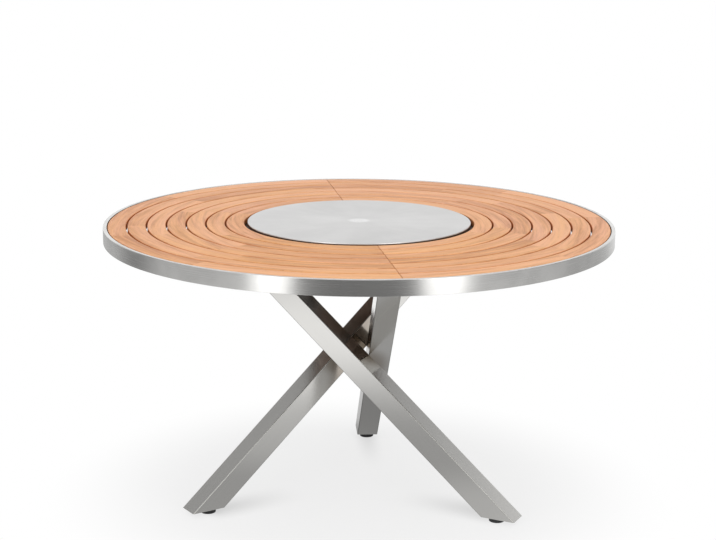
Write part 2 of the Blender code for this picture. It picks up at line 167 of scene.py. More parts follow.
class Graph:
    """A node tree that is written as expressions."""

    def __init__(self, tree: bpy.types.NodeTree) -> None:
        """Start from an empty tree."""
        self.tree = tree
        tree.nodes.clear()

    def node(
            self, kind: str, settings: Optional[dict[str, Any]] = None,
            inputs: Optional[Inputs] = None) -> bpy.types.Node:
        """Add a node.

        Args:
            kind: the node's type.
            settings: its own settings, set first.
            inputs: values or links for its sockets, by name or number.

        Returns:
            The node.
        """
        made = self.tree.nodes.new(kind)
        for name, value in (settings or {}).items():
            setattr(made, name, value)
        for key, value in (inputs or {}).items():
            socket = made.inputs[key]
            if isinstance(value, Reading):
                self.tree.links.new(value.socket, socket)
            elif socket.type == "RGBA":
                socket.default_value = (*value, 1.0)
            else:
                socket.default_value = value
        return made

    def read(
            self, kind: str, settings: Optional[dict[str, Any]] = None,
            inputs: Optional[Inputs] = None, output: Union[str, int] = 0) -> Reading:
        """Add a node and wrap one of its outputs, taken by name or number."""
        return Reading(self, self.node(kind, settings, inputs).outputs[output])

    def place(self) -> Reading:
        """Give the place on the piece."""
        return self.read("ShaderNodeTexCoord", None, None, "Object")

    def chart(self, name: str) -> tuple[Reading, Reading]:
        """Give the two values of one of the piece's own maps."""
        return self.split(self.read("ShaderNodeUVMap", {"uv_map": name}))[:2]

    def ray(self, kind: str) -> Reading:
        """Give 1 where a ray of one kind looks, and 0 elsewhere."""
        return self.read("ShaderNodeLightPath", None, None, kind)

    def vector(self, x: Any, y: Any, z: Any = 0.0) -> Reading:
        """Join three values into a vector."""
        return self.read("ShaderNodeCombineXYZ", None, {0: x, 1: y, 2: z})

    def split(self, source: Reading) -> tuple[Reading, Reading, Reading]:
        """Part a vector into its three values."""
        made = self.node("ShaderNodeSeparateXYZ", None, {0: source})
        return tuple(Reading(self, made.outputs[i]) for i in range(3))

    def reach(self, x: Reading, y: Reading) -> Reading:
        """Give how far a place in plan is from the middle."""
        return (x * x + y * y) ** 0.5

    def noise(self, place: Reading, scale: float = 1.0, detail: float = 2.0, rough: float = 0.5) -> Reading:
        """Give smooth noise from 0 to 1, with finer layers of a given strength."""
        look = {"Vector": place, "Scale": scale, "Detail": detail, "Roughness": rough}
        return self.read("ShaderNodeTexNoise", {"noise_dimensions": "3D"}, look)

    def grain(self, x: Any, y: Any, z: Any, detail: float = 2.0, rough: float = 0.5) -> Reading:
        """Give noise that is stretched by its own amount along each of three values."""
        return self.noise(self.vector(x, y, z), 1.0, detail, rough)

    def blend(self, amount: Any, first: Any, second: Any, how: str = "MIX") -> Reading:
        """Mix two colours, taking an amount of the second one."""
        settings = {"data_type": "RGBA", "blend_type": how, "clamp_factor": True}
        return self.read("ShaderNodeMix", settings, {0: amount, 6: first, 7: second}, 2)

    def bump(self, height: Reading, distance: float) -> Reading:
        """Turn a height into a surface normal."""
        return self.read("ShaderNodeBump", None, {"Height": height, "Distance": distance}, "Normal")


@dataclass(frozen=True)
class Finish:
    """A surface finish; each kind of finish gives its own shader inputs."""

    name: str

    def material(self) -> bpy.types.Material:
        """Give this finish as a material, made the first time it is asked for.

        Returns:
            The material.
        """
        found = bpy.data.materials.get(self.name)
        if found:
            return found
        made = bpy.data.materials.new(self.name)
        made.use_nodes = True
        graph = Graph(made.node_tree)
        shader = graph.read("ShaderNodeBsdfPrincipled", None, self.surface(graph))
        graph.node("ShaderNodeOutputMaterial", None, {"Surface": shader})
        return made

    def surface(self, graph: Graph) -> Inputs:
        """Give the surface shader's inputs; each kind of finish has its own."""
        raise NotImplementedError


@dataclass(frozen=True)
class Steel(Finish):
    """Brushed or plain metal."""

    colour: Colour = (0.62, 0.615, 0.60)
    roughness: float = 0.28
    brushing: Brushing = Brushing.MILL
    anisotropy: float = 0.0
    turn: float = 0.0
    lines_per_metre: float = 1400.0
    tone_spread: float = 0.10
    rough_spread: float = 0.12
    patch_scale: float = 7.0
    patch_spread: float = 0.02
    painted_fan_spread: float = 0.0
    fan_start: tuple[float, float] = (0.03, 0.16)
    bump: float = 0.000006
    centre_glint: float = 0.0
    glint_colour: Colour = (0.86, 0.86, 0.86)
    weld_and_shade_reach: float = 0.0
    weld_and_shade_colour: Colour = (0.58, 0.53, 0.48)
    corner_tint: Colour = (0.57, 0.57, 0.56)
    corner_dulling: float = 0.24
    painted_shade_below: float = 0.0
    painted_shade_within: float = 1.0
    painted_shade_tint: Colour = (0.13, 0.085, 0.065)
    painted_shade_fade: float = 0.0008
    dulling: float = 0.2

    def surface(self, graph: Graph) -> Inputs:
        """Draw fine brushed lines, and wider patches that are a little duller.

        Args:
            graph: the material's nodes.

        Returns:
            The shader's inputs.
        """
        where = graph.place()
        lines = graph.noise(self._strokes(graph, where), 1.0, 3.0, 0.6)
        patches = graph.noise(where, self.patch_scale, 3.0, 0.55)
        mixed = lines * 0.7 + patches * 0.3
        dark = tuple(part * (1.0 - self.tone_spread) for part in self.colour)
        light = tuple(min(1.0, part * (1.0 + self.tone_spread)) for part in self.colour)
        level = 1.0 - self.patch_spread * patches.rise(0.30, 0.70)
        # Painted reflection: darker fans round the middle, in place of the fans that brushing in rings
        # shows in light.
        if self.painted_fan_spread > 0.0:
            level = level * self._painted_fans(graph, where)
        colour = graph.blend(mixed, dark, light)
        colour = graph.blend(1.0, colour, graph.vector(level, level, level), 'MULTIPLY')
        roughness = self.roughness + (mixed - 0.5) * self.rough_spread
        colour, roughness = self._marks(graph, where, colour, roughness)
        return {
            "Base Color": colour, "Metallic": 1.0, "Roughness": roughness, "Anisotropic": self.anisotropy,
            "Anisotropic Rotation": self.turn, "Normal": graph.bump(lines, self.bump)}

    def _strokes(self, graph: Graph, where: Reading) -> Reading:
        """Give the coordinates in which the brushed lines are drawn.

        Args:
            graph: the material's nodes.
            where: the place on the piece.

        Returns:
            The coordinates.
        """
        waves = STROKE_WAVES[self.brushing]
        if self.brushing is Brushing.ALONG:
            along, across = graph.chart("brush")
            return graph.vector(along * waves, across * self.lines_per_metre)
        x, y, z = graph.split(where)
        if self.brushing is Brushing.HOOP:
            return graph.vector(x * waves, y * waves, z * self.lines_per_metre)
        if self.brushing is Brushing.RINGS:
            radius = graph.reach(x, y).larger(LEAST_RADIUS)
            return graph.vector(x / radius * waves, y / radius * waves, radius * self.lines_per_metre)
        return graph.vector(x * waves, y * waves, z * waves)

    def _painted_fans(self, graph: Graph, where: Reading) -> Reading:
        """Give the level of the darker fans that spread from the middle of a disc, a painted reflection.

        Args:
            graph: the material's nodes.
            where: the place on the piece.

        Returns:
            The level, 1 for no change.
        """
        x, y, _ = graph.split(where)
        radius = graph.reach(x, y).larger(LEAST_RADIUS)
        fans = graph.grain(x / radius * 2.4, y / radius * 2.4, radius * 1.5, 2.0, 0.6)
        return 1.0 - self.painted_fan_spread * radius.rise(*self.fan_start) * fans.rise(0.35, 0.65)

    def _marks(
            self, graph: Graph, where: Reading, colour: Reading,
            roughness: Reading) -> tuple[Reading, Reading]:
        """Draw a finish's marks: painted glint, weld tint and painted shade, duller corners, painted wall
        shade.

        Args:
            graph: the material's nodes.
            where: the place on the piece.
            colour: the colour so far.
            roughness: the roughness so far.

        Returns:
            The new colour and roughness.
        """
        x, y, height = graph.split(where)
        radius = graph.reach(x, y)
        # Painted highlight: the middle of a disc is made paler, like a glint, and also smoother.
        if self.centre_glint > 0.0:
            near = 1.0 - radius.rise(self.centre_glint * 0.55, self.centre_glint)
            colour = graph.blend(near * 0.50, colour, self.glint_colour)
            roughness = roughness - near * 0.06
        # Weld tint and painted shade: inner faces near the legs' crossing are made darker and browner.
        if self.weld_and_shade_reach > 0.0:
            inward, corner = graph.chart("faces")
            weld_and_shade = inward * (1.0 - radius.rise(self.weld_and_shade_reach * 0.5, self.weld_and_shade_reach))
            colour = graph.blend(weld_and_shade, colour, self.weld_and_shade_colour, 'MULTIPLY')
            colour = graph.blend(corner, colour, self.corner_tint, 'MULTIPLY')
            roughness = roughness + corner * self.corner_dulling
        # Painted shade: a wall low down, beside the teak, is made darker and browner, and rougher.
        if self.painted_shade_below > 0.0:
            wall_shade = 1.0 - height.rise(self.painted_shade_below - self.painted_shade_fade, self.painted_shade_below)
            wall_shade = wall_shade * (1.0 - radius.rise(self.painted_shade_within - self.painted_shade_fade / 2, self.painted_shade_within))
            colour = graph.blend(wall_shade, colour, self.painted_shade_tint, 'MULTIPLY')
            roughness = roughness + wall_shade * self.dulling
        return colour, roughness


@dataclass(frozen=True)
class Teak(Finish):
    """Oiled teak with its grain along the board that each piece was cut from."""

    pale: Colour = (0.88, 0.470, 0.245)
    deep: Colour = (0.50, 0.205, 0.082)
    pink: Colour = (0.83, 0.415, 0.272)
    gold: Colour = (0.82, 0.405, 0.108)
    gap_shade_colour: Colour = (0.52, 0.150, 0.030)
    pore: Colour = (0.24, 0.11, 0.05)
    shade: Colour = (0.090, 0.066, 0.052)
    rim_shade: Colour = (0.24, 0.20, 0.175)
    shade_tint: Colour = (0.55, 0.52, 0.50)
    edge_depths: tuple[float, float] = (0.0028, 0.0002)
    under_depths: tuple[float, float] = (0.0196, 0.0120)
    roughness: float = 0.52
    gloss: float = 0.35
    relief: float = 0.00006

    def surface(self, graph: Graph) -> Inputs:
        """Draw growth bands, fibres and pores, a tone and hue for each board, and painted shade in gaps and
        below.

        Args:
            graph: the material's nodes.

        Returns:
            The shader's inputs.
        """
        along, across = graph.chart("grain")
        x, y, height = graph.split(graph.place())
        # Painted shade in the gaps: the slats' eased edges and sides are made dark and rougher.
        sides = 1.0 - height.rise(*(TABLE_TOP - depth for depth in self.edge_depths))
        underside_shade = 1.0 - height.rise(*(TABLE_TOP - depth for depth in self.under_depths))
        board = graph.read("ShaderNodeAttribute", {"attribute_name": "board"}, None, "Vector")
        tone, hue, seed = graph.split(board)
        shift = seed * 31.0
        sway = (graph.grain(along * 2.2, across * 9.0, shift, 1.0) - 0.5) * 0.03
        bands = graph.grain(along * 3.0, (across + sway) * 36.0, shift, 3.0, 0.55)
        streaks = graph.grain(along * 7.0, (across + sway * 0.5) * 125.0, shift, 3.0, 0.6)
        fibres = graph.grain(along * 26.0, across * 800.0, shift, 2.0, 0.6)
        pores = graph.grain(along * 75.0, across * 2600.0, shift + 7.0, 1.0)
        pores = pores.rise(0.62, 0.74)
        veins = graph.grain(along * 4.0, (across + sway) * 70.0, shift + 3.0, 2.0, 0.6)
        wander = graph.grain(along * 2.4, across * 34.0, shift + 5.0, 2.0)
        light = bands * 0.20 + veins * 0.24 + streaks * 0.38 + fibres * 0.18
        light = light + (tone - 0.5) * 0.22
        cast = graph.blend(hue * 0.55 + wander.rise(0.32, 0.68) * 0.45, self.gold, self.pink)
        wood = graph.blend(light.rise(0.38, 0.63), self.deep, self.pale)
        wood = graph.blend(0.42, wood, cast)
        wood = graph.blend((1.0 - light.rise(0.35, 0.49)) * 0.75, wood, self.deep)
        wood = graph.blend(pores * 0.35, wood, self.pore)
        wood = graph.blend(sides * 0.92, wood, self.gap_shade_colour)
        # Painted shade under the slats: the underside is made dark, paler towards the rim where more light
        # reaches it.
        under = graph.blend(graph.reach(x, y).rise(0.46, 0.66), self.shade, self.rim_shade)
        under = graph.blend(1.0 - light.rise(0.36, 0.62), under, self.shade_tint, 'MULTIPLY')
        rough = self.roughness + (streaks - 0.5) * 0.16 + pores * 0.12
        return {
            "Base Color": graph.blend(underside_shade * 0.96, wood, under),
            "Roughness": rough + (sides * 0.30).larger(underside_shade * 0.38),
            "Specular IOR Level": self.gloss,
            "Normal": graph.bump(fibres * 0.5 + streaks * 0.3 - pores * 0.8, self.relief)}


@dataclass(frozen=True)
class PlainTeak(Teak):
    """Teak on a piece with no boards of its own: the grain follows the piece's direction."""

    angle: float = 0.0
    relief: float = 0.00008

    def surface(self, graph: Graph) -> Inputs:
        """Draw straight grain along one direction of the table's plan.

        Args:
            graph: the material's nodes.

        Returns:
            The shader's inputs.
        """
        turn = {0: graph.place(), 2: (0.0, 0.0, -self.angle)}
        along, across, up = graph.split(graph.read("ShaderNodeMapping", {"vector_type": "POINT"}, turn))
        bands = graph.grain(along * 2.0, across * 60.0, up * 45.0, 3.0, 0.55)
        fibres = graph.grain(along * 22.0, across * 900.0, up * 900.0, 2.0, 0.6)
        light = bands * 0.65 + fibres * 0.35
        return {
            "Base Color": graph.blend(light.rise(0.25, 0.75), self.deep, self.pale),
            "Roughness": self.roughness + (fibres - 0.5) * 0.2,
            "Specular IOR Level": self.gloss,
            "Normal": graph.bump(fibres, self.relief)}


@dataclass(frozen=True)
class Moulded(Finish):
    """Moulded plastic with a fine matt grain."""

    colour: Colour = (0.016, 0.016, 0.017)
    roughness: float = 0.46
    grain: float = 900.0
    relief: float = 0.00004

    def surface(self, graph: Graph) -> Inputs:
        """Draw a fine grain and slow patches where hands and shoes have rubbed.

        Args:
            graph: the material's nodes.

        Returns:
            The shader's inputs.
        """
        where = graph.place()
        rubbed = graph.noise(where, 24.0, 3.0)
        worn = tuple(min(1.0, part * 1.9 + 0.004) for part in self.colour)
        return {
            "Base Color": graph.blend(rubbed.rise(0.45, 0.8), self.colour, worn),
            "Roughness": self.roughness + (rubbed - 0.5) * 0.22,
            "Normal": graph.bump(graph.noise(where, self.grain, 2.0), self.relief)}


@dataclass(frozen=True)
class Threaded(Finish):
    """Plain steel of a screw thread, with painted shade in the valleys, which are also rougher."""

    colour: Colour = (0.55, 0.55, 0.54)
    roughness: float = 0.34
    depth: float = 0.00008

    def surface(self, graph: Graph) -> Inputs:
        """Paint shade into the valleys of the thread, darker and rougher, from the piece's own map.

        Args:
            graph: the material's nodes.

        Returns:
            The shader's inputs.
        """
        turn, height = graph.chart("thread")
        saw = (height - turn).fraction() - 0.5
        ridge = 1.0 - saw * saw * 4.0
        dark = tuple(part * 0.45 for part in self.colour)
        return {
            "Base Color": graph.blend(ridge, dark, self.colour), "Metallic": 1.0,
            "Roughness": self.roughness + (1.0 - ridge) * 0.2,
            "Normal": graph.bump(ridge, self.depth)}


class Bench:
    """Modelling moves on one object at a time."""

    @staticmethod
    def clear() -> None:
        """Leave edit mode and deselect everything."""
        if bpy.context.object and bpy.context.object.mode != 'OBJECT':
            bpy.ops.object.mode_set(mode='OBJECT')
        bpy.ops.object.select_all(action='DESELECT')

    @staticmethod
    def hold(obj: bpy.types.Object) -> None:
        """Select one object and nothing else.

        Args:
            obj: the object.
        """
        Bench.clear()
        obj.select_set(True)
        bpy.context.view_layer.objects.active = obj

    @staticmethod
    def name(obj: bpy.types.Object, name: str) -> bpy.types.Object:
        """Name an object and its mesh, and give it back."""
        obj.name = obj.data.name = name
        return obj

    @staticmethod
    def add(name: str, primitive: Callable[..., Any], **sizes: Any) -> bpy.types.Object:
        """Add a primitive, with its place, turn and size in its mesh.

        Args:
            name: the new object's name.
            primitive: the operator that adds it.
            sizes: the operator's own settings.

        Returns:
            The new object.
        """
        Bench.clear()
        primitive(**sizes)
        obj = Bench.name(bpy.context.object, name)
        Bench.hold(obj)
        bpy.ops.object.transform_apply(location=True, rotation=True, scale=True)
        return obj

    @staticmethod
    def cylinder(name: str, sides: int, radius: float, low: float, high: float) -> bpy.types.Object:
        """Add an upright cylinder about the axis, from one height to another."""
        return Bench.add(
            name, bpy.ops.mesh.primitive_cylinder_add, vertices=sides, radius=radius, depth=high - low,
            location=(0, 0, (low + high) / 2))

    @staticmethod
    @contextmanager
    def editing(obj: bpy.types.Object, kind: str = 'FACE') -> Iterator[None]:
        """Work in edit mode on one object.

        Args:
            obj: the object.
            kind: what is selected there: VERT, EDGE or FACE.

        Yields:
            Nothing; the object is in edit mode with all of it selected.
        """
        Bench.hold(obj)
        bpy.ops.object.mode_set(mode='EDIT')
        bpy.ops.mesh.select_mode(type=kind)
        bpy.ops.mesh.select_all(action='SELECT')
        try:
            yield
        finally:
            bpy.ops.object.mode_set(mode='OBJECT')

    @staticmethod
    def pick(obj: bpy.types.Object, kind: str, test: Callable[..., bool]) -> None:
        """Select vertices, edges or faces of the object in edit mode.

        Args:
            obj: the object.
            kind: VERT, EDGE or FACE.
            test: takes a vertex's place, an edge's two ends, or a face's middle and normal.
        """
        bpy.ops.mesh.select_mode(type=kind)
        bpy.ops.mesh.select_all(action='DESELECT')
        bm = bmesh.from_edit_mesh(obj.data)
        if kind == 'VERT':
            for vert in bm.verts:
                vert.select = test(vert.co)
        elif kind == 'EDGE':
            for edge in bm.edges:
                edge.select = test(edge.verts[0].co, edge.verts[1].co)
        else:
            for face in bm.faces:
                face.select = test(face.calc_center_median(), face.normal)
        bm.select_flush_mode()
        bmesh.update_edit_mesh(obj.data)

    @staticmethod
    def push(move: Sequence[float]) -> None:
        """Extrude the selected faces by a move."""
        bpy.ops.mesh.extrude_region_move(TRANSFORM_OT_translate={"value": tuple(move)})

    @staticmethod
    def ease(obj: bpy.types.Object, height: float, width: float, segments: int) -> None:
        """Bevel the edges that run round the axis at a height."""
        Bench.pick(obj, 'EDGE', lambda a, b: max(
            abs(a.z - height), abs(b.z - height), abs(a.xy.length - b.xy.length)) < TOUCH)
        bpy.ops.mesh.bevel(offset=width, segments=segments, affect='EDGES')

    @staticmethod
    def modify(obj: bpy.types.Object, kind: str, **settings: Any) -> None:
        """Put a modifier on an object and apply it.

        Args:
            obj: the object.
            kind: the modifier's type.
            settings: the modifier's own settings.
        """
        Bench.hold(obj)
        modifier = obj.modifiers.new(kind.lower(), kind)
        for name, value in settings.items():
            setattr(modifier, name, value)
        bpy.ops.object.modifier_apply(modifier=modifier.name)

    @staticmethod
    def sink(obj: bpy.types.Object, tool: bpy.types.Object) -> None:
        """Cut the shape of a tool out of an object and put the tool away."""
        Bench.modify(obj, 'BOOLEAN', operation='DIFFERENCE', solver='EXACT', object=tool)
        bpy.data.objects.remove(tool)

    @staticmethod
    def tidy(obj: bpy.types.Object, smooth: float = 35.0) -> None:
        """Merge doubles, turn faces outwards, shade the round parts smooth and keep the flats flat.

        Args:
            obj: the object.
            smooth: the angle in degrees up to which neighbouring faces are shaded as one.
        """
        with Bench.editing(obj, 'VERT'):
            bpy.ops.mesh.remove_doubles(threshold=0.000005)
            bpy.ops.mesh.normals_make_consistent(inside=False)
        Bench.hold(obj)
        bpy.ops.object.shade_smooth_by_angle(angle=math.radians(smooth))
        Bench.modify(obj, 'WEIGHTED_NORMAL', weight=100, keep_sharp=True)

    @staticmethod
    def join(name: str, parts: Sequence[bpy.types.Object]) -> bpy.types.Object:
        """Join objects into one.

        Args:
            name: the joined object's name.
            parts: the objects.

        Returns:
            The joined object.
        """
        Bench.clear()
        for part in parts:
            part.select_set(True)
        bpy.context.view_layer.objects.active = parts[0]
        bpy.ops.object.join()
        return Bench.name(parts[0], name)

    @staticmethod
    def copy(obj: bpy.types.Object, name: str, place: Matrix) -> bpy.types.Object:
        """Copy an object with a mesh of its own to another place.

        Args:
            obj: the object that is copied.
            name: the copy's name.
            place: the copy's place.

        Returns:
            The copy, with its place in its mesh.
        """
        made = obj.copy()
        made.data = obj.data.copy()
        bpy.context.scene.collection.objects.link(made)
        made.data.transform(place)
        return Bench.name(made, name)

    @staticmethod
    def lay_map(
            obj: bpy.types.Object, name: str,
            place: Callable[[Vector, Vector], tuple[float, float]]) -> None:
        """Give a mesh a map of its own.

        Args:
            obj: the object.
            name: the map's name.
            place: gives the map's two values from a corner's place and its face's normal.
        """
        mesh = obj.data
        layer = mesh.uv_layers.get(name) or mesh.uv_layers.new(name=name)
        for face in mesh.polygons:
            for loop in face.loop_indices:
                corner = mesh.vertices[mesh.loops[loop].vertex_index].co
                layer.data[loop].uv = place(corner, face.normal)


@dataclass
class Assembly:
    """A group of pieces of the table, with the ways to hand them over."""

    nodes: dict[str, bpy.types.Object]

    @staticmethod
    def paint(obj: bpy.types.Object, finish: Finish) -> None:
        """Give an object one finish all over."""
        obj.data.materials.clear()
        obj.data.materials.append(finish.material())

    def hand_over(
            self, obj: bpy.types.Object, body: Body, slot: Slot, finish: Finish,
            stands_for: Sequence[str] = ()) -> None:
        """Finish a new piece and fix it to its body.

        Args:
            obj: the piece.
            body: the body that it rides on.
            slot: the record's slot for its finish; not used.
            finish: its finish.
            stands_for: the solids that it is shown instead of.
        """
        self.paint(obj, finish)
        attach(obj, body.value)
        if stands_for:
            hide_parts(*stands_for)
        LOG.info("%s rides on %s in %s", obj.name, body.value, finish.name)

    def dress(self, node: str, finish: Finish) -> None:
        """Give a solid that stays a better finish."""
        self.paint(self.nodes[node], finish)
        LOG.info("%s keeps its solid in %s", node, finish.name)


@dataclass(frozen=True)
class LegLine:
    """The line of one leg, and where it meets the levels of the table."""

    index: int
    count: int = 3
    side: float = 0.060
    corner: float = 0.002
    clearance: float = 0.0003
    slope: float = math.radians(40.0)
    crossing: float = 0.3925
    turn: float = math.radians(3.7)

    @classmethod
    def every(cls) -> list["LegLine"]:
        """Give the lines of all the legs."""
        return [cls(index) for index in range(cls.count)]

    @property
    def number(self) -> int:
        """Give the leg's number as its solids count it."""
        return self.index + 1

    @property
    def offset(self) -> float:
        """Give how far the middle line passes from the axis when neighbouring legs just meet.

        Returns:
            The distance.
        """
        step = math.tau / self.count
        lean = math.sin(self.slope) * math.cos(self.slope)
        spread = 2 * math.sin(step / 2)
        skew = math.hypot(math.cos(self.slope) ** 2 * math.sin(step), lean * spread)
        side_share = lean * (1 - math.cos(step)) / skew
        upper_share = math.sqrt(1 - side_share ** 2)
        reach = (self.side / 2 - self.corner) * (side_share + upper_share) + self.corner
        return (2 * reach + self.clearance) * skew / (lean * spread ** 2)

    def angle(self) -> float:
        """Give the turn of the leg's own frame about the table's axis."""
        return self.turn - math.pi / 2 - math.tau * self.number / self.count

    def frame(self) -> Matrix:
        """Give the leg's own frame: X along it in plan, Y away from the axis."""
        return Matrix.Rotation(self.angle(), 4, 'Z')

    def run(self, height: float) -> float:
        """Give the leg's place along its own X at a height."""
        return (height - self.crossing) / math.tan(self.slope)

    def at(self, height: float) -> Vector:
        """Give the point of the leg's middle line at a height."""
        return self.frame() @ Vector((self.run(height), self.offset, height))

    def beside(self, along: float, height: float) -> Matrix:
        """Give the frame of a piece in line with the leg, a way along its X and at a height."""
        return self.frame() @ Matrix.Translation((along, self.offset, height))

    def along(self) -> Vector:
        """Give the direction of the leg, from its foot up."""
        return self.frame() @ Vector((math.cos(self.slope), 0.0, math.sin(self.slope)))

    def outward(self) -> Vector:
        """Give the level direction out of the leg's side."""
        return self.frame() @ Vector((0.0, 1.0, 0.0))


@dataclass
class RimBand(Assembly):
    """The rolled steel band round the top."""

    radius: float = 0.6775
    thickness: float = 0.010
    height: float = 0.040
    edge: float = 0.0013
    lower_edge: float = 0.0006
    segments: int = 288
    # The band's inner face below the slats' top gets painted shade.
    finish: Finish = Steel(
        "rim_brushed_steel", colour=(0.645, 0.64, 0.625), roughness=0.26, brushing=Brushing.HOOP,
        anisotropy=0.4, turn=0.25, tone_spread=0.07, patch_scale=13.0, patch_spread=0.13,
        painted_shade_below=0.7496, painted_shade_within=0.6683)

    def build(self) -> None:
        """Turn a cylinder into a band with eased edges."""
        low = TABLE_TOP - self.height
        obj = Bench.cylinder("rim_band_steel", self.segments, self.radius, low, TABLE_TOP)
        with Bench.editing(obj):
            Bench.pick(obj, 'FACE', lambda _, normal: abs(normal.z) > FACING)
            bpy.ops.mesh.inset(thickness=self.thickness, use_individual=True)
            bpy.ops.mesh.bridge_edge_loops()
            Bench.ease(obj, TABLE_TOP, self.edge, 3)
            Bench.ease(obj, low, self.lower_edge, 2)
        Bench.tidy(obj)
        self.hand_over(obj, Body.TABLE, Slot.RIM, self.finish, ["rim_band"])


@dataclass(frozen=True)
class RingPlan:
    """How the rings of slats lie between the turntable and the rim."""

    rings: int = 7
    inner: float = 0.3065
    outer: float = 0.6655
    gap: float = 0.0045

    @property
    def width(self) -> float:
        """Give the width of one slat."""
        return (self.outer - self.inner - (self.rings - 1) * self.gap) / self.rings

    def start(self, ring: int) -> float:
        """Give a ring's inner radius, counted from 0 at the turntable."""
        return self.inner + ring * (self.width + self.gap)


@dataclass
class SlattedTop(Assembly):
    """Rings of teak in two halves, each ring glued up from shorter boards."""

    plan: RingPlan = RingPlan()
    thickness: float = 0.020
    edge: float = 0.0027
    seam_width: float = 0.0016
    seam: float = 0.0
    board_gap: float = 0.00025
    longest_board: float = 0.46
    length_spread: float = 0.25
    step: float = math.radians(1.6)
    grain_slip: float = 5.0
    grain_skew: float = 0.03
    grain_bend: float = 0.6
    own_hue: float = 0.45
    tone: float = 0.59
    shade_toward_lamps: float = 0.42
    tone_spread: float = 0.16
    draw: int = 41
    finish: Finish = Teak("teak_oiled")

    def build(self) -> None:
        """Make both halves of every ring."""
        chance = random.Random(self.draw)
        for half, side in enumerate(("left", "right")):
            for ring in range(self.plan.rings):
                self._half_ring(f"slat_{side}_{ring + 1}", ring, self.seam + half * math.pi, chance)

    def _half_ring(self, node: str, ring: int, start: float, chance: random.Random) -> None:
        """Make one half ring from boards of uneven length.

        Args:
            node: the solid that it stands for.
            ring: its number, counted from 0 at the turntable.
            start: the direction in which it begins.
            chance: where the uneven lengths and tones come from.
        """
        inner = self.plan.start(ring)
        middle = inner + self.plan.width / 2
        ease = self.seam_width / 2 / middle
        sweep = math.pi - 2 * ease
        count = max(3, round(middle * math.pi / self.longest_board))
        shares = [chance.uniform(1.0 - self.length_spread, 1.0 + self.length_spread) for _ in range(count)]
        boards = []
        turn = start + ease
        for number, share in enumerate(shares):
            span = sweep * share / sum(shares)
            trim = self.board_gap / middle if number < count - 1 else 0.0
            board = self._board(f"{node}_board_{number}", inner, turn, span - trim)
            self._draw_grain(board, turn + (span - trim) / 2, chance)
            boards.append(board)
            turn += span
        obj = Bench.join(f"{node}_teak", boards)
        self.hand_over(obj, Body.TABLE, Slot.SLATS, self.finish, [node])

    def _board(self, name: str, inner: float, start: float, span: float) -> bpy.types.Object:
        """Make one curved board with eased upper edges.

        Args:
            name: the board's name.
            inner: its inner radius.
            start: the direction in which it begins.
            span: the angle that it covers.

        Returns:
            The board.
        """
        middle = (inner + self.plan.width / 2, 0.0, TABLE_TOP - self.thickness / 2)
        obj = Bench.add(
            name, bpy.ops.mesh.primitive_plane_add, size=1.0, rotation=(math.pi / 2, 0, 0), location=middle)
        with Bench.editing(obj, 'VERT'):
            bpy.ops.transform.resize(value=(self.plan.width, 1.0, self.thickness), center_override=middle)
            Bench.pick(obj, 'VERT', lambda place: place.z > TABLE_TOP - TOUCH)
            bpy.ops.mesh.bevel(offset=self.edge, segments=3, affect='VERTICES')
            bpy.ops.mesh.select_all(action='SELECT')
            steps = max(4, round(span / self.step))
            bpy.ops.mesh.spin(steps=steps, angle=-span, center=(0, 0, 0), axis=(0, 0, 1))
        obj.data.transform(Matrix.Rotation(start, 4, 'Z'))
        Bench.tidy(obj, 40.0)
        return obj

    def _draw_grain(self, obj: bpy.types.Object, middle: float, chance: random.Random) -> None:
        """Lay a board's grain along it, give it a tone and hue of its own, and painted shade if it faces
        the lamps.

        Args:
            obj: the board.
            middle: the direction of its middle from the axis.
            chance: where its grain and tone come from.
        """
        lengthwise = Vector((-math.sin(middle), math.cos(middle), 0.0))
        outward = Vector((math.cos(middle), math.sin(middle), 0.0))
        slip = chance.uniform(0.0, self.grain_slip)
        skew = chance.uniform(-self.grain_skew, self.grain_skew)
        bend = self.grain_bend
        Bench.lay_map(obj, "grain", lambda place, _: (
            place.dot(lengthwise) + slip,
            (1.0 - bend) * place.dot(outward) + bend * place.xy.length
            + skew * place.dot(lengthwise) + place.z))
        hue = self.own_hue * chance.random() + (1.0 - self.own_hue) * min(1.0, 1.0 + outward.y)
        # Painted shade: boards that face the lamps, at the front left and right, get a deeper tone.
        lit = max(0.0, -outward.y) * abs(outward.x)
        tone = chance.gauss(self.tone - self.shade_toward_lamps * lit, self.tone_spread)
        look = (tone, hue, chance.random(), 1.0)
        layer = obj.data.color_attributes.new("board", 'FLOAT_COLOR', 'POINT')
        layer.data.foreach_set("color", [part for _ in obj.data.vertices for part in look])


